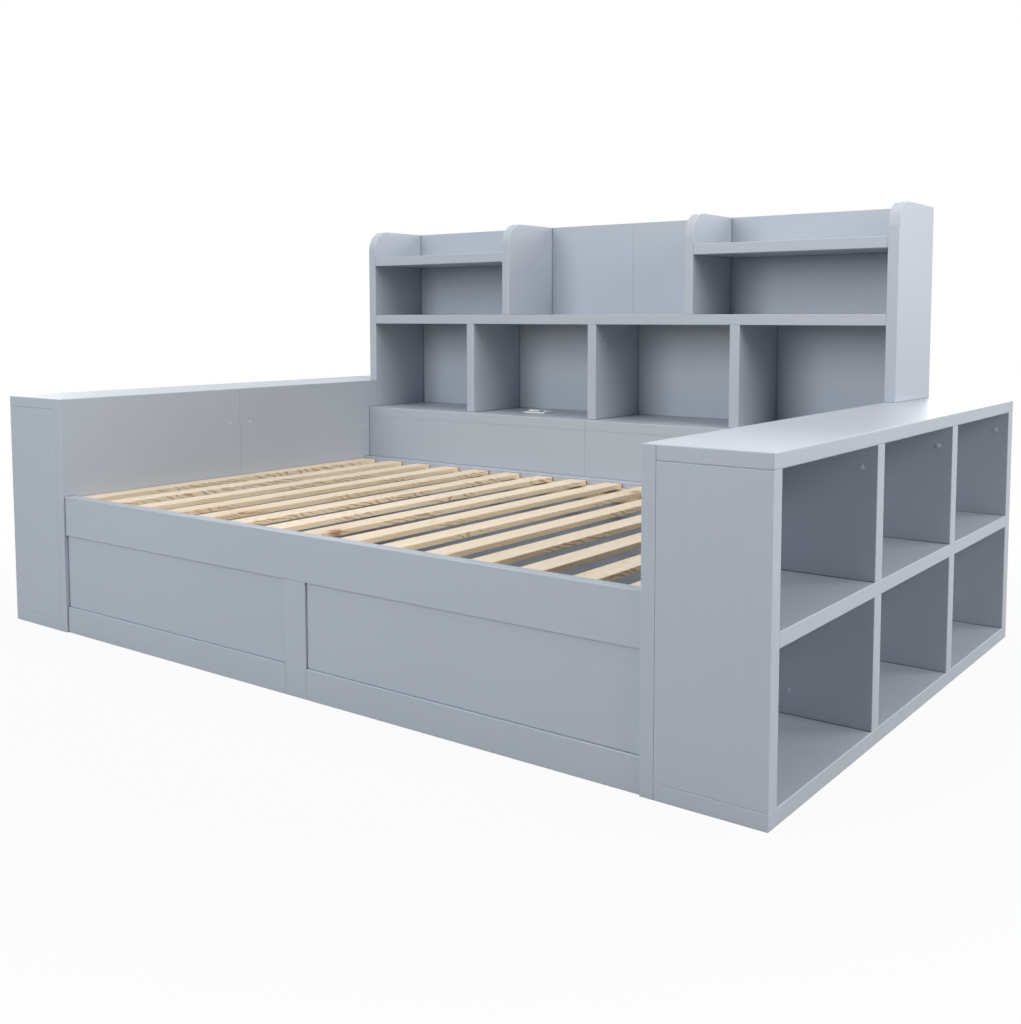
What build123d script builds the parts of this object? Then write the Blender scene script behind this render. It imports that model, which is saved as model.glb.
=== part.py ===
from build123d import *
import os

# Storage daybed in millimetres, standing on Z = 0 and centred on X and Y.
# The sleeper looks towards +Y at the bookcase; a cubby cabinet stands at each end, on -X and +X.

# Overall sizes, from which the rest follows
clear_length = 1930.0         # between the inner panels, for a 1905 mm long mattress
mattress_depth = 1248.0       # front plane to the cover panels, for a 1219 mm wide mattress
shelf_overhang = 39.0         # lower shelf ahead of the bookcase sides
bookcase_depth = 288.0
bookcase_height = 1230.0
cabinet_height = 678.0
cabinet_depth = 235.5         # from an inner panel's outer face to the cubby mouths

# Board thicknesses
panel_t = 31.0                # inner panels, bookcase sides, rails, cabinet tops and shelves
cabinet_base_t = 34.0
cabinet_front_t = 35.0
cabinet_divider_t = 40.0
cabinet_end_t = 41.0
bookcase_board_t = 32.0       # middle and upper shelves and cubby dividers
lower_shelf_t = 34.0
upper_divider_t = 29.0
upper_back_t = 34.0
lower_back_t = 22.0
cover_panel_t = 21.0
base_panel_t = 18.0
front_panel_t = 12.0
edge_ease = 1.2               # rounding on every painted board edge

# Heights and widths of the bed frame
rail_top = 397.0
rail_height = 113.0
rail_setback = 6.0            # rail face behind the inner panels' front edges
bottom_rail_height = 75.0
panel_recess = 6.0            # front panels behind the rail face
stile_width = 72.0

# Slats and what carries them
slat_count = 15
slat_width = 60.0
slat_t = 14.0
slat_drop = 5.5               # slat top below the rail top
slat_end_gap = 4.0
ledger_width = 30.0
ledger_height = 40.0

# Bookcase layout
lower_shelf_top = 580.5
middle_shelf_top = 921.0
upper_shelf_drop = 96.5       # upper shelves' tops below the bookcase's top
cubby_divider_offset = 509.0  # outer cubby dividers from the centre
upper_divider_offset = 352.5
corner_radius = 70.0          # rounded front corners of sides and upper dividers
upper_shelf_setback = 1.0

# Joinery
dowel_r = 4.0
dowel_length = 30.0
dowel_gap = 0.1
dowel_inset = 50.0            # from a board's ends to its dowels
bolt_r = 3.0
bolt_length = 64.0
bolt_head_r = 6.5
bolt_head_t = 4.0
bolt_gap = 0.2
bolt_low = 18.0               # lower bolt above the rail's underside
bolt_pitch = 24.0
nut_r = 5.0
nut_length = 22.0
nut_from_tip = 12.0
screw_r = 1.75
screw_head_r = 3.8
screw_head_t = 2.2
screw_length = 30.0
screw_gap = 0.1
cap_r = 6.0
cap_height = 2.4
cap_round = 1.6
cap_top_drop = 50.0           # cap below a cabinet top
cap_mouth_inset = 35.0        # cap behind a cubby mouth
cap_low_rise = 56.0           # low cap above a cabinet base
cap_low_inset = 46.0          # low cap from the inner panel
cap_seam_offset = 41.0        # caps each side of the inner panels' seam
cap_seam_drop = 113.0
cap_rear_drop = 165.0
cap_rear_inset = 81.0
cap_divider_drop = 64.0       # caps on the bookcase dividers
cap_divider_inset = 58.0

# Power unit in the lower shelf
power_x = -301.0
power_inset = 162.0           # unit's middle behind the lower shelf's front edge
bezel_length = 92.0
bezel_width = 60.0
bezel_t = 4.0
bezel_corner = 5.0
bezel_round = 1.0
housing_wall = 2.0
housing_margin = 5.0          # bezel beyond the housing all round
housing_depth = 46.0
cutout_gap = 1.0
insert_t = 3.0
insert_gap = 0.3
insert_drop = 1.0             # insert face below the bezel top
lid_length = 44.0
lid_width = 34.0
lid_t = 5.0
lid_shift_x = -17.0
lid_gap = 0.3                 # lid above the bezel, and lid to hinge ears
ear_t = 3.0
pin_r = 0.8
pin_gap = 0.05
socket_r = 13.0
socket_depth = 1.6
port_length = 12.0
port_width = 5.0
port_pitch = 14.0

# Planes worked out from the sizes above
inner = clear_length / 2
panel_out = inner + panel_t
outer = panel_out + cabinet_depth
inner_panel_length = mattress_depth + shelf_overhang
overall_depth = inner_panel_length + bookcase_depth
front = -overall_depth / 2
back = overall_depth / 2
panel_seam = front + inner_panel_length / 2
bookcase_front = front + inner_panel_length
cover_front = front + mattress_depth
upper_back_front = back - upper_back_t
lower_back_front = back - lower_back_t
rail_front = front + rail_setback
rail_back = rail_front + panel_t
rear_rail_front = cover_front - panel_t
rail_bottom = rail_top - rail_height
slat_top = rail_top - slat_drop
slat_bottom = slat_top - slat_t
cabinet_top_low = cabinet_height - panel_t
cubby_height = (cabinet_top_low - cabinet_base_t - panel_t) / 2
cabinet_shelf_low = cabinet_base_t + cubby_height
cabinet_shelf_top = cabinet_shelf_low + panel_t
cubby_width = (overall_depth - cabinet_front_t - cabinet_end_t - 2 * cabinet_divider_t) / 3
front_divider_low = front + cabinet_front_t + cubby_width
rear_divider_low = front_divider_low + cabinet_divider_t + cubby_width
cabinet_end_low = back - cabinet_end_t
lower_shelf_low = lower_shelf_top - lower_shelf_t
middle_shelf_low = middle_shelf_top - bookcase_board_t
upper_shelf_low = bookcase_height - upper_shelf_drop - bookcase_board_t
middle_seam = bookcase_board_t / 2
power_y = cover_front + power_inset
sides = (("left", -1), ("right", 1))

os.makedirs("parts", exist_ok=True)


def spans(sign, near, far):
    """The (low, high) span between two distances from the centre, on the side that sign names."""
    return tuple(sorted((sign * near, sign * far)))


def span_rectangle(first, second):
    """Draw a rectangle in the open sketch between two (low, high) spans."""
    with Locations((sum(first) / 2, sum(second) / 2)):
        Rectangle(first[1] - first[0], second[1] - second[0])


def save(builder, name):
    """Label a finished piece and write its STEP file."""
    builder.part.label = name
    export_step(builder.part, f"parts/{name}.step")


def dowel_holes(points):
    """Bore the dowel holes centred on points out of the open part."""
    with Locations(*points):
        Cylinder(dowel_r + dowel_gap, dowel_length + 2 * dowel_gap, mode=Mode.SUBTRACT)


# Dowels stand across the joints between upright and level boards
cabinet_upright_mids = (
    front + cabinet_front_t / 2,
    front_divider_low + cabinet_divider_t / 2,
    rear_divider_low + cabinet_divider_t / 2,
    cabinet_end_low + cabinet_end_t / 2,
)
cabinet_joint_heights = (cabinet_base_t, cabinet_top_low)
divider_dowel_ys = (bookcase_front + dowel_inset, lower_back_front - dowel_inset)
cubby_divider_xs = (-cubby_divider_offset, 0.0, cubby_divider_offset)


def cabinet_dowels(sign, z, mids=cabinet_upright_mids):
    """Dowel centres at height z over a cabinet's uprights."""
    xs = (panel_out + dowel_inset, outer - dowel_inset)
    return [(sign * x, y, z) for y in mids for x in xs]


def divider_dowels(x, z):
    """Dowel centres at height z over a bookcase divider at x."""
    return [(x, y, z) for y in divider_dowel_ys]


with BuildPart() as dowels:
    for _, sign in sides:
        for z in cabinet_joint_heights:
            with Locations(*cabinet_dowels(sign, z)):
                Cylinder(dowel_r, dowel_length)
        with Locations(*divider_dowels(sign * upper_divider_offset, middle_shelf_top)):
            Cylinder(dowel_r, dowel_length)
    for x in cubby_divider_xs:
        with Locations(*divider_dowels(x, lower_shelf_top), *divider_dowels(x, middle_shelf_low)):
            Cylinder(dowel_r, dowel_length)
save(dowels, "dowels")

# Bolts run along X through the inner panels into barrel nuts near the rail ends
bolt_heights = (rail_bottom + bolt_low, rail_bottom + bolt_low + bolt_pitch)
bolt_mids = (rail_front + panel_t / 2, rear_rail_front + panel_t / 2)
bolt_points = [(y, z) for y in bolt_mids for z in bolt_heights]
bolt_tip = panel_out - bolt_length
nut_x = bolt_tip + nut_from_tip


def bolt_holes(sign):
    """Bore the bolt shanks and head recesses of one end out of the open part."""
    with Locations(*[(sign * (bolt_tip + panel_out) / 2, y, z) for y, z in bolt_points]):
        Cylinder(bolt_r + bolt_gap, bolt_length + 2 * bolt_gap, rotation=(0, 90, 0), mode=Mode.SUBTRACT)
    with Locations(*[(sign * (panel_out - bolt_head_t / 2), y, z) for y, z in bolt_points]):
        Cylinder(bolt_head_r + bolt_gap, bolt_head_t, rotation=(0, 90, 0), mode=Mode.SUBTRACT)


def nut_holes(face_y, inward):
    """Bore the barrel nut pockets into a rail from its face at face_y."""
    depth = nut_length + bolt_gap
    with Locations(*[(s * nut_x, face_y + inward * depth / 2, z) for _, s in sides for z in bolt_heights]):
        Cylinder(nut_r + bolt_gap, depth, rotation=(90, 0, 0), mode=Mode.SUBTRACT)


for side, sign in sides:
    cabinet_x = spans(sign, panel_out, outer)
    panel_x = spans(sign, inner, panel_out)

    # Inner panels: two boards end to end between the bed and the cubbies
    with BuildPart() as inner_front_panel:
        with BuildSketch():
            span_rectangle(panel_x, (front, panel_seam))
        extrude(amount=cabinet_height)
        fillet(inner_front_panel.edges(), edge_ease)
        bolt_holes(sign)
    save(inner_front_panel, f"{side}_inner_front_panel")

    with BuildPart() as inner_rear_panel:
        with BuildSketch():
            span_rectangle(panel_x, (panel_seam, bookcase_front))
        extrude(amount=cabinet_height)
        fillet(inner_rear_panel.edges(), edge_ease)
        bolt_holes(sign)
    save(inner_rear_panel, f"{side}_inner_rear_panel")

    # Cabinet case: base and top over the full depth, front and end boards between them
    with BuildPart() as cabinet_base:
        with BuildSketch():
            span_rectangle(cabinet_x, (front, back))
        extrude(amount=cabinet_base_t)
        fillet(cabinet_base.edges(), edge_ease)
        dowel_holes(cabinet_dowels(sign, cabinet_base_t))
    save(cabinet_base, f"{side}_cabinet_base")

    with BuildPart() as cabinet_top:
        with BuildSketch(Plane.XY.offset(cabinet_top_low)):
            span_rectangle(cabinet_x, (front, back))
        extrude(amount=panel_t)
        fillet(cabinet_top.edges(), edge_ease)
        dowel_holes(cabinet_dowels(sign, cabinet_top_low))
    save(cabinet_top, f"{side}_cabinet_top")

    with BuildPart() as cabinet_front:
        with BuildSketch(Plane.XY.offset(cabinet_base_t)):
            span_rectangle(cabinet_x, (front, front + cabinet_front_t))
        extrude(amount=cabinet_top_low - cabinet_base_t)
        fillet(cabinet_front.edges(), edge_ease)
        for z in cabinet_joint_heights:
            dowel_holes(cabinet_dowels(sign, z, cabinet_upright_mids[:1]))
    save(cabinet_front, f"{side}_cabinet_front")

    with BuildPart() as cabinet_end:
        with BuildSketch(Plane.XY.offset(cabinet_base_t)):
            span_rectangle(cabinet_x, (cabinet_end_low, back))
        extrude(amount=cabinet_top_low - cabinet_base_t)
        fillet(cabinet_end.edges(), edge_ease)
        for z in cabinet_joint_heights:
            dowel_holes(cabinet_dowels(sign, z, cabinet_upright_mids[3:]))
    save(cabinet_end, f"{side}_cabinet_end")

    with BuildPart() as cabinet_shelf:
        with BuildSketch(Plane.XY.offset(cabinet_shelf_low)):
            span_rectangle(cabinet_x, (front + cabinet_front_t, cabinet_end_low))
        extrude(amount=panel_t)
        fillet(cabinet_shelf.edges(), edge_ease)
    save(cabinet_shelf, f"{side}_cabinet_shelf")

    # A lower and an upper divider stand in line, one under and one over the shelf
    for place, low, mids in (
        ("front", front_divider_low, cabinet_upright_mids[1:2]),
        ("rear", rear_divider_low, cabinet_upright_mids[2:3]),
    ):
        with BuildPart() as cabinet_dividers:
            with BuildSketch(Plane.XY.offset(cabinet_base_t), Plane.XY.offset(cabinet_shelf_top)):
                span_rectangle(cabinet_x, (low, low + cabinet_divider_t))
            extrude(amount=cubby_height)
            fillet(cabinet_dividers.edges(), edge_ease)
            for z in cabinet_joint_heights:
                dowel_holes(cabinet_dowels(sign, z, mids))
        save(cabinet_dividers, f"{side}_{place}_dividers")

    # Bookcase side: full height, with its front top corner rounded
    with BuildPart() as bookcase_side:
        with BuildSketch(Plane.YZ.offset(panel_x[0])) as side_outline:
            span_rectangle((bookcase_front, back), (0, bookcase_height))
            fillet(side_outline.vertices().group_by(Axis.Y)[-1].sort_by(Axis.X)[0], corner_radius)
        extrude(amount=panel_t)
        fillet(bookcase_side.edges(), edge_ease)
    save(bookcase_side, f"{side}_bookcase_side")

    # Upper divider: stands on the middle shelf, rounded like the sides
    divider_mid = sign * upper_divider_offset
    with BuildPart() as upper_divider:
        with BuildSketch(Plane.YZ.offset(divider_mid - upper_divider_t / 2)) as divider_outline:
            span_rectangle((bookcase_front, upper_back_front), (middle_shelf_top, bookcase_height))
            fillet(divider_outline.vertices().group_by(Axis.Y)[-1].sort_by(Axis.X)[0], corner_radius)
        extrude(amount=upper_divider_t)
        fillet(upper_divider.edges(), edge_ease)
        dowel_holes(divider_dowels(divider_mid, middle_shelf_top))
    save(upper_divider, f"{side}_upper_divider")

    with BuildPart() as upper_shelf:
        with BuildSketch(Plane.XY.offset(upper_shelf_low)):
            span_rectangle(
                spans(sign, upper_divider_offset + upper_divider_t / 2, inner),
                (bookcase_front + upper_shelf_setback, upper_back_front),
            )
        extrude(amount=bookcase_board_t)
        fillet(upper_shelf.edges(), edge_ease)
    save(upper_shelf, f"{side}_upper_shelf")

    # Middle shelf halves meet over the right face of the centre divider
    with BuildPart() as middle_shelf:
        with BuildSketch(Plane.XY.offset(middle_shelf_low)):
            span_rectangle(tuple(sorted((middle_seam, sign * inner))), (bookcase_front, upper_back_front))
        extrude(amount=bookcase_board_t)
        fillet(middle_shelf.edges(), edge_ease)
        shelf_divider_xs = [x for x in cubby_divider_xs if (x > 0) == (sign > 0)]
        for x in shelf_divider_xs:
            dowel_holes(divider_dowels(x, middle_shelf_low))
        dowel_holes(divider_dowels(divider_mid, middle_shelf_top))
    save(middle_shelf, f"{side}_middle_shelf")

    # Lower shelf halves meet on the centre line; the left one has the power unit's cut-out
    with BuildPart() as lower_shelf:
        with BuildSketch(Plane.XY.offset(lower_shelf_low)):
            span_rectangle(spans(sign, 0, inner), (cover_front, lower_back_front))
        extrude(amount=lower_shelf_t)
        fillet(lower_shelf.edges(), edge_ease)
        for x in cubby_divider_xs:
            dowel_holes(divider_dowels(x, lower_shelf_top))
        if sign * power_x > 0:
            with BuildSketch(Plane.XY.offset(lower_shelf_low)):
                with Locations((power_x, power_y)):
                    Rectangle(
                        bezel_length - 2 * (housing_margin - cutout_gap),
                        bezel_width - 2 * (housing_margin - cutout_gap),
                    )
            extrude(amount=lower_shelf_t, mode=Mode.SUBTRACT)
    save(lower_shelf, f"{side}_lower_shelf")

    # Cover panel behind the pillows, down behind the rear rail
    with BuildPart() as cover_panel:
        with BuildSketch(Plane.XY.offset(rail_bottom)):
            span_rectangle(spans(sign, 0, inner), (cover_front, cover_front + cover_panel_t))
        extrude(amount=lower_shelf_low - rail_bottom)
        fillet(cover_panel.edges(), edge_ease)
    save(cover_panel, f"{side}_cover_panel")

    # Base panel: closes the space under the bed and carries the lower shelf
    with BuildPart() as base_panel:
        with BuildSketch():
            span_rectangle(spans(sign, 0, inner), (bookcase_front - base_panel_t, bookcase_front))
        extrude(amount=lower_shelf_low)
        fillet(base_panel.edges(), edge_ease)
    save(base_panel, f"{side}_base_panel")

    # Back panels: a thin one behind the cubbies and a thick one above them
    with BuildPart() as lower_back:
        with BuildSketch(Plane.XY.offset(lower_shelf_low)):
            span_rectangle(spans(sign, 0, inner), (lower_back_front, back))
        extrude(amount=middle_shelf_low - lower_shelf_low)
        fillet(lower_back.edges(), edge_ease)
    save(lower_back, f"{side}_lower_back")

    with BuildPart() as upper_back:
        with BuildSketch(Plane.XY.offset(middle_shelf_low)):
            span_rectangle(spans(sign, 0, inner), (upper_back_front, back))
        extrude(amount=bookcase_height - middle_shelf_low)
        fillet(upper_back.edges(), edge_ease)
    save(upper_back, f"{side}_upper_back")

    # Front apron: bottom rail and recessed panel beside the centre stile
    with BuildPart() as bottom_rail:
        with BuildSketch():
            span_rectangle(spans(sign, stile_width / 2, inner), (rail_front, rail_back))
        extrude(amount=bottom_rail_height)
        fillet(bottom_rail.edges(), edge_ease)
    save(bottom_rail, f"{side}_bottom_rail")

    with BuildPart() as front_panel:
        with BuildSketch(Plane.XY.offset(bottom_rail_height)):
            span_rectangle(
                spans(sign, stile_width / 2, inner),
                (rail_front + panel_recess, rail_front + panel_recess + front_panel_t),
            )
        extrude(amount=rail_bottom - bottom_rail_height)
    save(front_panel, f"{side}_front_panel")

# Cubby dividers between the lower and the middle shelf
for name, x in zip(("left_cubby_divider", "centre_divider", "right_cubby_divider"), cubby_divider_xs):
    with BuildPart() as cubby_divider:
        with BuildSketch(Plane.XY.offset(lower_shelf_top)):
            span_rectangle(
                (x - bookcase_board_t / 2, x + bookcase_board_t / 2),
                (bookcase_front, lower_back_front),
            )
        extrude(amount=middle_shelf_low - lower_shelf_top)
        fillet(cubby_divider.edges(), edge_ease)
        for z in (lower_shelf_top, middle_shelf_low):
            dowel_holes(divider_dowels(x, z))
    save(cubby_divider, name)

# Upright under the lower shelf's seam, inside the bookcase base
with BuildPart() as base_support:
    with BuildSketch():
        span_rectangle((-panel_t / 2, panel_t / 2), (bookcase_front, back))
    extrude(amount=lower_shelf_low)
    fillet(base_support.edges(), edge_ease)
save(base_support, "base_support")

# Long rails along the front and under the cover panels
with BuildPart() as front_rail:
    with BuildSketch(Plane.XY.offset(rail_bottom)):
        span_rectangle((-inner, inner), (rail_front, rail_back))
    extrude(amount=rail_height)
    fillet(front_rail.edges(), edge_ease)
    for _, sign in sides:
        bolt_holes(sign)
    nut_holes(rail_back, -1)
save(front_rail, "front_rail")

with BuildPart() as rear_rail:
    with BuildSketch(Plane.XY.offset(rail_bottom)):
        span_rectangle((-inner, inner), (rear_rail_front, cover_front))
    extrude(amount=rail_height)
    fillet(rear_rail.edges(), edge_ease)
    for _, sign in sides:
        bolt_holes(sign)
    nut_holes(rear_rail_front, 1)
save(rear_rail, "rear_rail")

with BuildPart() as front_stile:
    with BuildSketch():
        span_rectangle((-stile_width / 2, stile_width / 2), (rail_front, rail_back))
    extrude(amount=rail_bottom)
    fillet(front_stile.edges(), edge_ease)
save(front_stile, "front_stile")

# Bolts and barrel nuts of the four rail ends
with BuildPart() as rail_bolts:
    for _, sign in sides:
        with Locations(*[(sign * (bolt_tip + panel_out) / 2, y, z) for y, z in bolt_points]):
            Cylinder(bolt_r, bolt_length, rotation=(0, 90, 0))
        with Locations(*[(sign * (panel_out - bolt_head_t / 2), y, z) for y, z in bolt_points]):
            Cylinder(bolt_head_r, bolt_head_t, rotation=(0, 90, 0))
save(rail_bolts, "rail_bolts")

nut_mids = (rail_back - nut_length / 2, rear_rail_front + nut_length / 2)
with BuildPart() as barrel_nuts:
    with Locations(*[(s * nut_x, y, z) for _, s in sides for y in nut_mids for z in bolt_heights]):
        Cylinder(nut_r, nut_length, rotation=(90, 0, 0))
    for _, sign in sides:
        with Locations(*[(sign * (bolt_tip + panel_out) / 2, y, z) for y, z in bolt_points]):
            Cylinder(bolt_r + bolt_gap, bolt_length + 2 * bolt_gap, rotation=(0, 90, 0), mode=Mode.SUBTRACT)
save(barrel_nuts, "barrel_nuts")

# Slats run from rail to rail on ledgers and are screwed down at both ends
slat_pitch = (clear_length - slat_width) / (slat_count - 1)
slat_xs = [-inner + slat_width / 2 + i * slat_pitch for i in range(slat_count)]
slat_ys = (rail_back + slat_end_gap, rear_rail_front - slat_end_gap)
ledger_mids = (rail_back + ledger_width / 2, rear_rail_front - ledger_width / 2)
screw_points = [(x, y, slat_top) for x in slat_xs for y in ledger_mids]

with BuildPart() as slats:
    with BuildSketch(Plane.XY.offset(slat_bottom)):
        for x in slat_xs:
            span_rectangle((x - slat_width / 2, x + slat_width / 2), slat_ys)
    extrude(amount=slat_t)
    fillet(slats.edges().filter_by(Axis.Y), edge_ease)
    with Locations(*screw_points):
        CounterSinkHole(screw_r + screw_gap, screw_head_r + screw_gap)
save(slats, "slats")

with BuildPart() as slat_ledgers:
    with BuildSketch(Plane.XY.offset(slat_bottom - ledger_height)):
        for y in ledger_mids:
            span_rectangle((-inner, inner), (y - ledger_width / 2, y + ledger_width / 2))
    extrude(amount=ledger_height)
    with Locations(*screw_points):
        Hole(screw_r + screw_gap, depth=screw_length + screw_gap)
save(slat_ledgers, "slat_ledgers")

with BuildPart() as slat_screws:
    with Locations(*[Location((x, y, z)) for x, y, z in screw_points]):
        Cylinder(screw_r, screw_length, align=(Align.CENTER, Align.CENTER, Align.MAX))
        Cone(screw_r, screw_head_r, screw_head_t, align=(Align.CENTER, Align.CENTER, Align.MAX))
save(slat_screws, "slat_screws")

# Domed caps over the cam fittings, each on the face that its plane names
cap_planes = []
for _, sign in sides:
    mouth_x = sign * (outer - cap_mouth_inset)
    cap_low_x = sign * (panel_out + cap_low_inset)
    for low in (front_divider_low, rear_divider_low, cabinet_end_low):
        cap_planes.append(Plane((mouth_x, low, cabinet_top_low - cap_top_drop), z_dir=(0, -1, 0)))
        cap_planes.append(Plane((cap_low_x, low, cabinet_base_t + cap_low_rise), z_dir=(0, -1, 0)))
    for y, drop in (
        (panel_seam - cap_seam_offset, cap_seam_drop),
        (panel_seam + cap_seam_offset, cap_seam_drop),
        (bookcase_front - cap_rear_inset, cap_rear_drop),
    ):
        cap_planes.append(Plane((sign * inner, y, cabinet_height - drop), z_dir=(-sign, 0, 0)))
for x in cubby_divider_xs:
    for y in (bookcase_front + cap_divider_inset, lower_back_front - cap_divider_inset):
        face_x = x + bookcase_board_t / 2
        cap_planes.append(Plane((face_x, y, middle_shelf_low - cap_divider_drop), z_dir=(1, 0, 0)))

with BuildPart() as cam_caps:
    for plane in cap_planes:
        with BuildSketch(plane):
            Circle(cap_r)
        extrude(amount=cap_height)
    for plane in cap_planes:
        dome_centre = plane.origin + plane.z_dir * cap_height
        rim = cam_caps.edges().filter_by(GeomType.CIRCLE).sort_by_distance(dome_centre)[0]
        fillet(rim, cap_round)
save(cam_caps, "cam_caps")

# Power unit: bezel on the lower shelf, housing through it, insert in its mouth, flip lid over the socket
bezel_top = lower_shelf_top + bezel_t
housing_length = bezel_length - 2 * housing_margin
housing_width = bezel_width - 2 * housing_margin
insert_top = bezel_top - insert_drop
lid_x = power_x + lid_shift_x
opening_rear = power_y + housing_width / 2 - housing_wall
lid_rear = opening_rear + lid_t
socket_y = (lid_rear - lid_width + opening_rear) / 2
pin_y = lid_rear - lid_t / 2
pin_z = bezel_top + lid_gap + lid_t / 2
port_x = power_x + (housing_length / 2 + lid_shift_x + lid_length / 2) / 2

with BuildPart() as power_bezel:
    with BuildSketch(Plane.XY.offset(lower_shelf_top)):
        with Locations((power_x, power_y)):
            RectangleRounded(bezel_length, bezel_width, bezel_corner)
    extrude(amount=bezel_t)
    fillet(power_bezel.faces().sort_by(Axis.Z)[-1].edges(), bezel_round)
    with BuildSketch(Plane.XY.offset(lower_shelf_top)):
        with Locations((power_x, power_y)):
            Rectangle(housing_length - 2 * housing_wall, housing_width - 2 * housing_wall)
    extrude(amount=bezel_t, mode=Mode.SUBTRACT)
    ear_low = lid_x - lid_length / 2 - lid_gap - ear_t
    ear_high = lid_x + lid_length / 2 + lid_gap
    with BuildSketch(Plane.YZ.offset(ear_low), Plane.YZ.offset(ear_high)):
        span_rectangle((pin_y - lid_t / 2, pin_y + lid_t / 2), (lower_shelf_top, pin_z))
        with Locations((pin_y, pin_z)):
            Circle(lid_t / 2)
    extrude(amount=ear_t)
    with Locations((lid_x, pin_y, pin_z)):
        Cylinder(pin_r + pin_gap, bezel_length, rotation=(0, 90, 0), mode=Mode.SUBTRACT)
save(power_bezel, "power_bezel")

with BuildPart() as power_housing:
    with BuildSketch(Plane.XY.offset(lower_shelf_top)):
        with Locations((power_x, power_y)):
            Rectangle(housing_length, housing_width)
    extrude(amount=-housing_depth)
    with BuildSketch(Plane.XY.offset(lower_shelf_top)):
        with Locations((power_x, power_y)):
            Rectangle(housing_length - 2 * housing_wall, housing_width - 2 * housing_wall)
    extrude(amount=-(housing_depth - housing_wall), mode=Mode.SUBTRACT)
save(power_housing, "power_housing")

with BuildPart() as power_insert:
    with BuildSketch(Plane.XY.offset(insert_top)):
        with Locations((power_x, power_y)):
            Rectangle(
                housing_length - 2 * (housing_wall + insert_gap),
                housing_width - 2 * (housing_wall + insert_gap),
            )
    extrude(amount=-(insert_top - lower_shelf_top + insert_t))
    with BuildSketch(Plane.XY.offset(insert_top)):
        with Locations((lid_x, socket_y)):
            Circle(socket_r)
        with Locations(*[(port_x, power_y + shift) for shift in (-port_pitch / 2, port_pitch / 2)]):
            Rectangle(port_length, port_width)
    extrude(amount=-socket_depth, mode=Mode.SUBTRACT)
save(power_insert, "power_insert")

with BuildPart() as power_lid:
    with BuildSketch(Plane.YZ.offset(lid_x - lid_length / 2)):
        span_rectangle((lid_rear - lid_width, pin_y), (pin_z - lid_t / 2, pin_z + lid_t / 2))
        with Locations((pin_y, pin_z)):
            Circle(lid_t / 2)
    extrude(amount=lid_length)
    fillet(power_lid.faces().sort_by(Axis.Y)[0].edges(), bezel_round)
    with Locations((lid_x, pin_y, pin_z)):
        Cylinder(pin_r + pin_gap, bezel_length, rotation=(0, 90, 0), mode=Mode.SUBTRACT)
save(power_lid, "power_lid")

with BuildPart() as power_hinge_pin:
    with Locations((lid_x, pin_y, pin_z)):
        Cylinder(pin_r, lid_length + 2 * (lid_gap + ear_t), rotation=(0, 90, 0))
save(power_hinge_pin, "power_hinge_pin")
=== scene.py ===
import math

import bpy
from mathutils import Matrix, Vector


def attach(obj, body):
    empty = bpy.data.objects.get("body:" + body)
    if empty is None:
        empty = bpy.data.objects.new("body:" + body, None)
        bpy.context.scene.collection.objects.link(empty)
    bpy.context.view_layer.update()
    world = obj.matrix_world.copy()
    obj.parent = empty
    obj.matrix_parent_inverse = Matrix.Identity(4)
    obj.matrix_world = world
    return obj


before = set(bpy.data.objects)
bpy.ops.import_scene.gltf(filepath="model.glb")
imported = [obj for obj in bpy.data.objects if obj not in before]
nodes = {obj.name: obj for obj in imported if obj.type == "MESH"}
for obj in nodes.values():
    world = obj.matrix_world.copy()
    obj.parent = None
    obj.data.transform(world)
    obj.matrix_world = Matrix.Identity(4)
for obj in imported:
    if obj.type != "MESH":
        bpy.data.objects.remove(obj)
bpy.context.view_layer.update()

# Cabinets at the two ends: bases, tops, fronts, ends, shelves and dividers.
# Fibreboard with a sprayed satin paint, dowelled together. The spray leaves a fine orange peel,
# the edges carry a painted highlight that is partly rubbed wear, and painted shade darkens the seams and
# inside corners.


class Socket:
    """A shader socket that sums and multiplies as a number does."""

    def __init__(self, shader, link):
        self.shader = shader
        self.link = link

    def math(self, operation, *values):
        return self.shader.node("ShaderNodeMath", {"operation": operation}, *values)

    def __add__(self, other):
        return self.math("ADD", self, other)

    def __radd__(self, other):
        return self.math("ADD", other, self)

    def __sub__(self, other):
        return self.math("SUBTRACT", self, other)

    def __rsub__(self, other):
        return self.math("SUBTRACT", other, self)

    def __mul__(self, other):
        return self.math("MULTIPLY", self, other)

    def __rmul__(self, other):
        return self.math("MULTIPLY", other, self)


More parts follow.
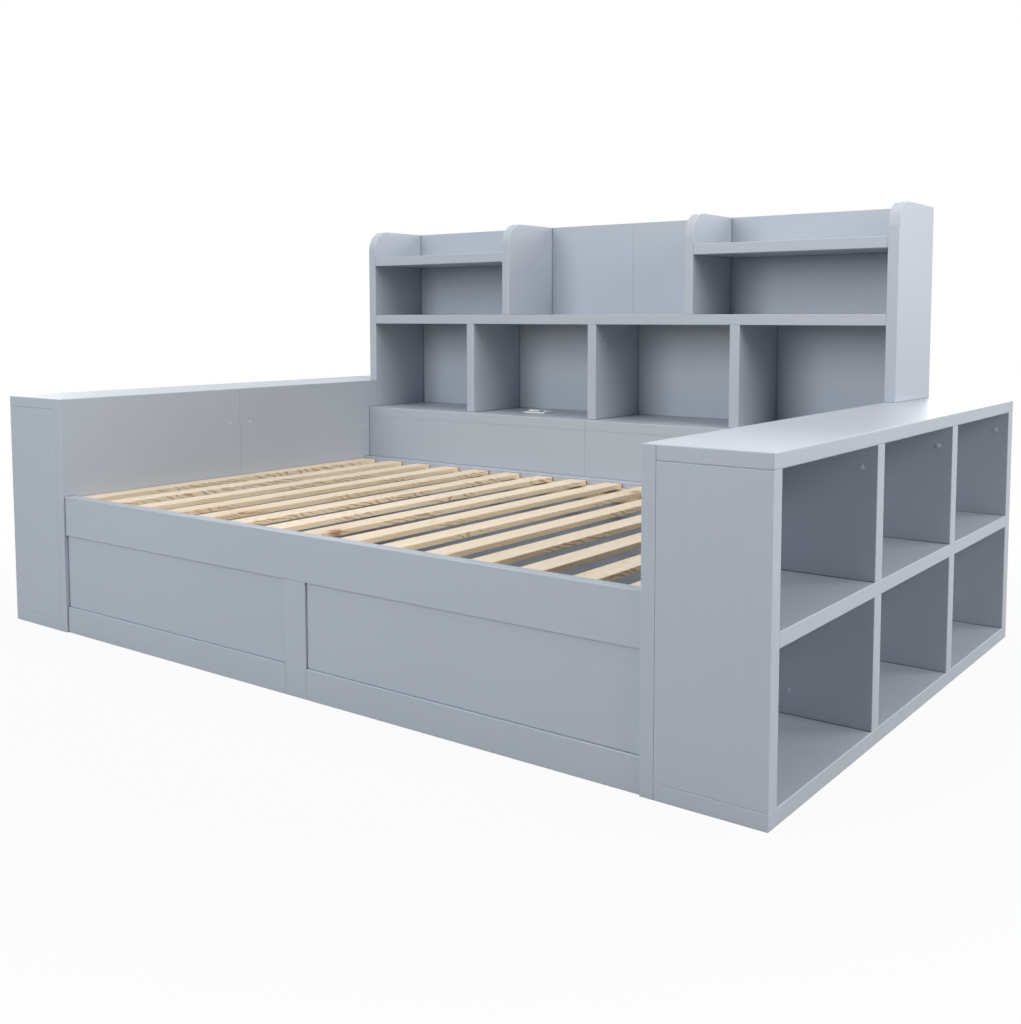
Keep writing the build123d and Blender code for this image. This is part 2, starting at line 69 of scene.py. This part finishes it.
class Finish:
    """A material's node tree, grown one node at a time."""

    def __init__(self, name):
        self.material = bpy.data.materials.new(name)
        self.material.use_nodes = True
        self.tree = self.material.node_tree
        self.tree.nodes.clear()
        self.output = self.tree.nodes.new("ShaderNodeOutputMaterial")

    def node(self, kind, settings, *values, out=0, **named):
        """Add a node, set it up first, then fill its sockets in order and by name."""
        made = self.tree.nodes.new(kind)
        for key, value in settings.items():
            setattr(made, key, value)
        pairs = list(zip(made.inputs, values))
        pairs += [(made.inputs[key.replace("_", " ")], value) for key, value in named.items()]
        for socket, value in pairs:
            if isinstance(value, Socket):
                self.tree.links.new(value.link, socket)
            elif value is not None:
                socket.default_value = value
        return Socket(self, made.outputs[out])

    def place(self, scale=(1.0, 1.0, 1.0)):
        """The point on the piece in its own coordinates, stretched."""
        point = self.node("ShaderNodeTexCoord", {}, out="Object")
        return self.node("ShaderNodeMapping", {}, Vector=point, Scale=scale)

    def noise(self, point, scale, detail=3.0, roughness=0.5):
        return self.node("ShaderNodeTexNoise", {}, Vector=point, Scale=scale, Detail=detail,
                         Roughness=roughness, out="Fac")

    def mix(self, amount, first, second):
        """Blend two colours by an amount from 0 to 1."""
        made = self.tree.nodes.new("ShaderNodeMix")
        made.data_type = "RGBA"
        # The node keeps its factor in input 0, its colours in 6 and 7, and the blend in output 2
        for index, value in ((0, amount), (6, first), (7, second)):
            if isinstance(value, Socket):
                self.tree.links.new(value.link, made.inputs[index])
            elif isinstance(value, tuple):
                made.inputs[index].default_value = (*value, 1.0)
            else:
                made.inputs[index].default_value = value
        return Socket(self, made.outputs[2])

    def band(self, value, low, high, to_low=0.0, to_high=1.0):
        """Map a value between low and high smoothly to a new span."""
        return self.node("ShaderNodeMapRange", {"interpolation_type": "SMOOTHSTEP"},
                         value, low, high, to_low, to_high)

    def bump(self, height, strength, distance, normal=None):
        return self.node("ShaderNodeBump", {}, Strength=strength, Distance=distance, Height=height,
                         Normal=normal)

    def surface(self, **sockets):
        """Close the tree with a Principled shader and hand back the material."""
        shader = self.tree.nodes.new("ShaderNodeBsdfPrincipled")
        for key, value in sockets.items():
            socket = shader.inputs[key.replace("_", " ")]
            if isinstance(value, Socket):
                self.tree.links.new(value.link, socket)
            elif isinstance(value, tuple):
                socket.default_value = (*value, 1.0)
            else:
                socket.default_value = value
        self.tree.links.new(shader.outputs[0], self.output.inputs[0])
        return self.material


def coat(material, *names):
    """Give CAD nodes their finish in place of the plain one."""
    for name in names:
        slots = nodes[name].data.materials
        slots.clear()
        slots.append(material)


edge_band_width = 0.0022


def painted_board(name, along, edge=edge_band_width):
    """Satin paint with faint sanding streaks along one axis, softened edges with a painted highlight
    that is partly rubbed wear, and painted shade in seams and corners.
    """
    paint = Finish(name)
    streak_scale = [9.0, 9.0, 9.0]
    streak_scale["XYZ".index(along)] = 0.9
    cloud = paint.noise(paint.place(), 2.2, detail=2.0)
    streaks = paint.noise(paint.place(tuple(streak_scale)), 6.0, detail=4.0, roughness=0.6)
    peel = paint.noise(paint.place(), 260.0, detail=2.0)
    tone = 0.6 * cloud + 0.4 * streaks
    colour = paint.mix(paint.band(tone, 0.3, 0.7), (0.428, 0.467, 0.528), (0.442, 0.481, 0.542))
    face = paint.node("ShaderNodeNewGeometry", {}, out="Normal")
    # Painted highlight: the convex edges are paled, broken up along the streaks like rubbed wear.
    rounded_normal = paint.node("ShaderNodeBevel", {"samples": 4}, Radius=edge_band_width)
    turned = paint.node("ShaderNodeVectorMath", {"operation": "DOT_PRODUCT"}, face, rounded_normal, out="Value")
    edge_highlight_and_wear = paint.band(1.0 - turned, 0.01, 0.14) * paint.band(streaks, 0.35, 0.6, 0.5, 1.0)
    colour = paint.mix(edge_highlight_and_wear * 0.85, colour, (0.72, 0.755, 0.81))
    # Painted shade: occlusion darkens the seams between boards and every inside corner nearly to black.
    open_air = paint.node("ShaderNodeAmbientOcclusion", {"samples": 8}, Distance=0.005, out="AO")
    joint_and_corner_shade = paint.band(open_air, 0.34, 0.82, 1.0, 0.0)
    colour = paint.mix(joint_and_corner_shade * 0.92, colour, (0.055, 0.065, 0.085))
    roughness = 0.37 + 0.05 * streaks + 0.04 * peel
    soft = paint.node("ShaderNodeBevel", {"samples": 6}, Radius=edge)
    normal = paint.bump(peel, 0.08, 0.0005, soft)
    return paint.surface(Base_Color=colour, Roughness=roughness, Normal=normal)


paint_x = painted_board("satin_paint_along_x", "X")
paint_y = painted_board("satin_paint_along_y", "Y")
paint_z = painted_board("satin_paint_along_z", "Z")
paint_top = painted_board("satin_paint_cabinet_tops", "Y", edge=0.0050)
for side in ("left", "right"):
    coat(paint_top, f"{side}_cabinet_top")
    coat(paint_y, f"{side}_cabinet_base", f"{side}_cabinet_shelf")
    coat(paint_z, f"{side}_cabinet_front", f"{side}_cabinet_end")
    coat(paint_z, f"{side}_front_dividers", f"{side}_rear_dividers")

# Inner panels between the cubbies and the mattress.
# Two painted boards end to end on each side, with the rails bolted to them.
for side in ("left", "right"):
    coat(paint_y, f"{side}_inner_front_panel", f"{side}_inner_rear_panel")

# Bookcase along the back: sides, shelves, dividers, back panels and its closed base.
# Painted boards as in the cabinets, each shelf and back made in two halves that meet near the middle.
for side in ("left", "right"):
    coat(paint_z, f"{side}_bookcase_side", f"{side}_upper_divider")
    coat(paint_x, f"{side}_upper_shelf", f"{side}_middle_shelf", f"{side}_lower_shelf")
    coat(paint_x, f"{side}_cover_panel", f"{side}_base_panel")
    coat(paint_x, f"{side}_lower_back", f"{side}_upper_back")
coat(paint_z, "left_cubby_divider", "centre_divider", "right_cubby_divider", "base_support")

# Rails and the front apron: long rails, bottom rails, a centre stile and two recessed panels.
# Painted like the cabinets. The panels are thin boards set back behind the rails.
coat(paint_x, "front_rail", "rear_rail")
coat(paint_z, "front_stile")
for side in ("left", "right"):
    coat(paint_x, f"{side}_bottom_rail", f"{side}_front_panel")

# Slats and the ledgers that they rest on: planed pine, left bare.
# Growth rings show as clusters of slanted streaks on the side faces, and bend round a few knots.


def pine(name, lengthwise, pale, dark, side_grain_and_light_tone):
    """Bare pine whose grain runs along one axis, with slanted rings, pores and knots."""
    wood = Finish(name)

    def stretched(along, across, depth):
        scales = {"X": (along, across, depth), "Y": (across, along, depth), "Z": (across, depth, along)}
        return wood.place(scales[lengthwise])

    knots = wood.node("ShaderNodeTexVoronoi", {"feature": "F1"}, Vector=stretched(0.42, 1.0, 1.0),
                      Scale=6.5, Randomness=1.0, out="Distance")
    knot = wood.band(knots, 0.045, 0.10, 1.0, 0.0)
    around = wood.band(knots, 0.06, 0.34, 1.0, 0.0)
    board = wood.noise(stretched(0.4, 7.5, 0.4), 1.0, detail=0.0)
    swell = wood.noise(stretched(2.2, 9.0, 9.0), 1.0, detail=2.0)
    cluster = wood.noise(stretched(3.4, 8.0, 3.0), 1.0, detail=1.0)
    rings = wood.node("ShaderNodeTexWave", {"wave_type": "BANDS", "bands_direction": "DIAGONAL"},
                      Vector=stretched(0.20, 0.26, 0.8), Scale=72.0, Distortion=9.0, Detail=2.0,
                      Detail_Scale=0.9, Phase_Offset=around * 12.0 + swell * 34.0, out="Fac")
    pores = wood.noise(stretched(9.0, 260.0, 260.0), 1.0, detail=4.0, roughness=0.65)
    facing = wood.node("ShaderNodeSeparateXYZ", {}, wood.node("ShaderNodeNewGeometry", {}, out="Normal"),
                       out="Z")
    # Side faces take their own tone: partly edge grain, partly painted light and shade.
    edge_face = wood.band(facing * facing, 0.2, 0.7, 1.0, 0.0)
    latewood = wood.band(rings, 0.55, 0.95) * wood.band(cluster, 0.47, 0.60, 0.08, 1.0)
    colour = wood.mix(edge_face, pale, side_grain_and_light_tone)
    colour = wood.mix(latewood * (0.14 + 0.56 * edge_face), colour, dark)
    colour = wood.mix(wood.band(board, 0.35, 0.65, 0.0, 0.24), colour, (0.58, 0.43, 0.27))
    colour = wood.mix(wood.band(pores, 0.48, 0.72, 0.0, 0.26), colour, (0.50, 0.33, 0.18))
    colour = wood.mix(around * 0.22, colour, (0.56, 0.31, 0.14))
    colour = wood.mix(knot * 0.82, colour, (0.27, 0.12, 0.05))
    height = 0.5 * pores + 0.35 * rings - 0.3 * knot
    roughness = 0.58 + 0.16 * pores - 0.12 * latewood
    return wood.surface(Base_Color=colour, Roughness=roughness, Normal=wood.bump(height, 0.35, 0.0007))


# The slats' side faces are painted lighter and the ledgers' side faces darker, partly for the light that
# falls on them.
slat_pine = pine("slat_pine", "Y", (0.85, 0.73, 0.58), (0.42, 0.25, 0.125), (0.93, 0.765, 0.56))
ledger_pine = pine("ledger_pine", "X", (0.74, 0.60, 0.43), (0.44, 0.27, 0.14), (0.70, 0.53, 0.34))
coat(slat_pine, "slats")
coat(ledger_pine, "slat_ledgers")

# Dowels in the board joints: plain beech pins, glued in.
# They stand out of sight inside the boards.
coat(pine("dowel_beech", "Z", (0.62, 0.44, 0.28), (0.44, 0.28, 0.16), (0.60, 0.42, 0.26)), "dowels")

# Slat screws: countersunk steel wood screws with a cross recess, zinc plated.
# One at each end of each slat, driven flush into the ledger.


def zinc(name, tint):
    """Zinc-plated steel with a fine turned grain and cloudy plating."""
    metal = Finish(name)
    cloud = metal.noise(metal.place(), 90.0, detail=3.0)
    turned = metal.noise(metal.place((900.0, 900.0, 60.0)), 1.0, detail=2.0)
    dark = tuple(0.72 * c for c in tint)
    colour = metal.mix(metal.band(cloud, 0.3, 0.7), dark, tint)
    roughness = 0.26 + 0.22 * cloud
    return metal.surface(Base_Color=colour, Roughness=roughness, Metallic=1.0,
                         Normal=metal.bump(turned, 0.15, 0.0002))


zinc_plate = zinc("zinc_plate", (0.70, 0.71, 0.73))
coat(zinc_plate, "slat_screws")


def tree_of(name, inputs):
    """Start a Geometry Nodes tree with named number inputs and one geometry output."""
    tree = bpy.data.node_groups.new(name, "GeometryNodeTree")
    tree.interface.new_socket("Geometry", in_out="OUTPUT", socket_type="NodeSocketGeometry")
    ids = {}
    for label, value in inputs.items():
        kind = "NodeSocketInt" if isinstance(value, int) else "NodeSocketFloat"
        ids[label] = tree.interface.new_socket(label, in_out="INPUT", socket_type=kind).identifier
    return tree, ids, tree.nodes.new("NodeGroupInput"), tree.nodes.new("NodeGroupOutput")


def wire(tree, kind, settings, out=0, **sockets):
    """Add a geometry node, set it up, then fill its sockets by name."""
    made = tree.nodes.new(kind)
    for key, value in settings.items():
        setattr(made, key, value)
    for key, value in sockets.items():
        socket = next(s for s in made.inputs if s.name == key.replace("_", " ") and s.enabled)
        if isinstance(value, bpy.types.NodeSocket):
            tree.links.new(value, socket)
        else:
            socket.default_value = value
    return made.outputs[out]


def grow(name, tree, ids, values, material, body):
    """Run a tree on an empty mesh, keep its result as a plain mesh and let it ride on a body."""
    holder = bpy.data.objects.new(name, bpy.data.meshes.new(name))
    bpy.context.scene.collection.objects.link(holder)
    modifier = holder.modifiers.new(name, "NODES")
    modifier.node_group = tree
    for label, value in values.items():
        modifier[ids[label]] = value
    bpy.context.view_layer.update()
    settled = holder.evaluated_get(bpy.context.evaluated_depsgraph_get())
    plain = bpy.data.meshes.new_from_object(settled)
    holder.modifiers.remove(modifier)
    holder.data = plain
    if not plain.materials:
        plain.materials.append(material)
    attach(holder, body)


# The cross recesses are flat near-black crosses on the screw heads: painted shade where the holes would
# be deep.
shadowed = Finish("screw_recess")
recess_shade_colour = shadowed.mix(
    shadowed.noise(shadowed.place(), 400.0), (0.03, 0.03, 0.032), (0.08, 0.08, 0.085))
recess = shadowed.surface(Base_Color=recess_shade_colour, Roughness=0.5, Metallic=0.6)

clear_length = 1.930
slat_count = 15
slat_width = 0.060
slat_top = 0.3915
front_rail_back = -0.7505
rear_rail_front = 0.4295
half_ledger = 0.015
recess_t = 0.0005
screw_values = {
    "Count": slat_count,
    "Pitch": (clear_length - slat_width) / (slat_count - 1),
    "First": (slat_width - clear_length) / 2,
    "Front": front_rail_back + half_ledger,
    "Rear": rear_rail_front - half_ledger,
    "Top": slat_top,
    "Arm": 0.0042,
    "Width": 0.0011,
}
tree, ids, given, result = tree_of("cross_recesses", screw_values)
cross = tree.nodes.new("GeometryNodeJoinGeometry")
for long_way, short_way in (("X", "Y"), ("Y", "X")):
    size = wire(tree, "ShaderNodeCombineXYZ", {}, Z=recess_t,
                **{long_way: given.outputs["Arm"], short_way: given.outputs["Width"]})
    tree.links.new(wire(tree, "GeometryNodeMeshCube", {}, Size=size), cross.inputs[0])
rows = tree.nodes.new("GeometryNodeJoinGeometry")
for end in ("Front", "Rear"):
    start = wire(tree, "ShaderNodeCombineXYZ", {}, X=given.outputs["First"], Y=given.outputs[end],
                 Z=given.outputs["Top"])
    step = wire(tree, "ShaderNodeCombineXYZ", {}, X=given.outputs["Pitch"])
    row = wire(tree, "GeometryNodeMeshLine", {"mode": "OFFSET"}, Count=given.outputs["Count"],
               Start_Location=start, Offset=step)
    tree.links.new(row, rows.inputs[0])
turn = wire(tree, "FunctionNodeRandomValue", {"data_type": "FLOAT"}, out=1, Min=0.0, Max=1.5, Seed=7)
spin = wire(tree, "ShaderNodeCombineXYZ", {}, Z=turn)
placed = wire(tree, "GeometryNodeInstanceOnPoints", {}, Points=rows.outputs[0],
              Instance=cross.outputs[0], Rotation=spin)
real = wire(tree, "GeometryNodeRealizeInstances", {}, Geometry=placed)
dressed = wire(tree, "GeometryNodeSetMaterial", {}, Geometry=real, Material=recess)
tree.links.new(dressed, result.inputs[0])
grow("slat_screw_recesses", tree, ids, screw_values, recess, "bed")

# Rail bolts and barrel nuts: plated steel, two at each end of each rail.
# The bolts pass through the inner panels from the cubbies, and the nuts sit across the rails.
coat(zinc_plate, "rail_bolts", "barrel_nuts", "power_hinge_pin")

# Caps over the cam fittings: pressed plastic domes in the paint's colour.
# They snap into the boards beside each joint.
cap = Finish("cap_plastic")
cap_cloud = cap.noise(cap.place(), 130.0)
coat(cap.surface(Base_Color=cap.mix(cap_cloud, (0.50, 0.54, 0.59), (0.56, 0.60, 0.65)),
                 Roughness=0.30 + 0.1 * cap_cloud, Normal=cap.bump(cap_cloud, 0.08, 0.0003)), "cam_caps")

# Power unit in the lower shelf: bezel, housing, insert with a socket and two ports, and a flip lid.
# Moulded in glossy white plastic. The lid turns on a steel pin between two ears.
gloss = Finish("white_plastic")
gloss_cloud = gloss.noise(gloss.place(), 60.0)
gloss_grain = gloss.noise(gloss.place(), 900.0, detail=1.0)
white_plastic = gloss.surface(
    Base_Color=gloss.mix(gloss_cloud, (0.84, 0.845, 0.85), (0.90, 0.90, 0.90)),
    Roughness=0.22 + 0.08 * gloss_cloud, Normal=gloss.bump(gloss_grain, 0.05, 0.0002))
coat(white_plastic, "power_bezel", "power_housing", "power_insert", "power_lid")

# Floor, sky and lamps: a plain pale floor under a white surround.
# Broad soft lamps light the +X faces and the tops most, and a large one fills the front.
floor_mesh = bpy.data.meshes.new("floor")
reach = 30.0
floor_z = -0.0005
corners = ((-1, -1), (1, -1), (1, 1), (-1, 1))
floor_mesh.from_pydata([(x * reach, y * reach, floor_z) for x, y in corners], [], [(0, 1, 2, 3)])
floor = bpy.data.objects.new("floor", floor_mesh)
bpy.context.scene.collection.objects.link(floor)
pale = Finish("pale_floor")
seen = pale.node("ShaderNodeLightPath", {}, out="Is Camera Ray")
middle = pale.node("ShaderNodeVectorMath", {"operation": "LENGTH"}, pale.place(), out="Value")
near = pale.band(middle, 1.3, 2.6, 0.94, 1.0)
lit = pale.node("ShaderNodeBsdfDiffuse", {}, (0.40, 0.40, 0.40, 1.0))
glow = pale.node("ShaderNodeEmission", {}, (1.0, 1.0, 1.0, 1.0), 1.0)
blend = pale.node("ShaderNodeMixShader", {}, seen * near, lit, glow)
pale.tree.links.new(blend.link, pale.output.inputs[0])
floor_mesh.materials.append(pale.material)

world = bpy.data.worlds.new("surround")
bpy.context.scene.world = world
world.use_nodes = True
sky = world.node_tree
sky.nodes.clear()
path = sky.nodes.new("ShaderNodeLightPath")
away = sky.nodes.new("ShaderNodeBackground")
away.inputs[0].default_value = (0.96, 0.98, 1.0, 1.0)
away.inputs[1].default_value = 0.05
white = sky.nodes.new("ShaderNodeBackground")
white.inputs[0].default_value = (1.0, 1.0, 1.0, 1.0)
white.inputs[1].default_value = 1.0
either = sky.nodes.new("ShaderNodeMixShader")
over = sky.nodes.new("ShaderNodeOutputWorld")
shown = sky.nodes.new("ShaderNodeMath")
shown.operation = "MAXIMUM"
sky.links.new(path.outputs["Is Camera Ray"], shown.inputs[0])
sky.links.new(path.outputs["Is Glossy Ray"], shown.inputs[1])
sky.links.new(shown.outputs[0], either.inputs[0])
sky.links.new(away.outputs[0], either.inputs[1])
sky.links.new(white.outputs[0], either.inputs[2])
sky.links.new(either.outputs[0], over.inputs[0])


def lamp(name, place, target, size, power, colour):
    """A soft square lamp that looks at a point."""
    data = bpy.data.lights.new(name, "AREA")
    data.size = size
    data.energy = power
    data.color = colour
    thing = bpy.data.objects.new(name, data)
    thing.location = place
    thing.rotation_euler = (Vector(target) - Vector(place)).to_track_quat("-Z", "Y").to_euler()
    bpy.context.scene.collection.objects.link(thing)


lamp("right_window", (6.5, -0.8, 3.4), (0.2, 0.0, 0.5), 3.4, 238.0, (1.0, 0.985, 0.96))
lamp("rear_window", (5.6, 4.2, 2.6), (0.9, 0.6, 0.8), 3.0, 192.0, (1.0, 0.99, 0.97))
lamp("front_fill", (-1.5, -6.5, 3.2), (0.0, 0.0, 0.5), 4.0, 302.0, (0.95, 0.98, 1.0))
lamp("ceiling", (0.3, -0.2, 5.0), (0.0, 0.0, 0.4), 4.5, 136.0, (1.0, 1.0, 1.0))
lamp("left_window", (-6.0, 0.5, 3.0), (-0.4, 0.0, 0.5), 3.4, 110.0, (1.0, 1.0, 1.0))
lamp("back_fill", (-1.5, 6.5, 2.6), (0.0, 0.6, 0.6), 3.4, 150.0, (1.0, 1.0, 1.0))

# Camera where the photograph was taken from, found from the bed's own straight edges.
# The picture was cropped, so the lens is shifted a little.
photo_width = 1021.0
photo_height = 1024.0
focal_pixels = 1156.9
centre_pixel = (529.3, 409.2)
eye = bpy.data.cameras.new("eye")
eye.sensor_fit = "HORIZONTAL"
eye.sensor_width = 36.0
eye.lens = focal_pixels * eye.sensor_width / photo_width
eye.shift_x = (photo_width / 2 - centre_pixel[0]) / photo_width
eye.shift_y = (centre_pixel[1] - photo_height / 2) / photo_width
camera = bpy.data.objects.new("eye", eye)
camera.location = (2.0750, -2.6327, 0.9109)
camera.rotation_euler = (math.radians(90.0 - 4.525), 0.0, math.radians(36.604))
bpy.context.scene.collection.objects.link(camera)
bpy.context.scene.camera = camera
bpy.context.scene.view_settings.view_transform = "Standard"
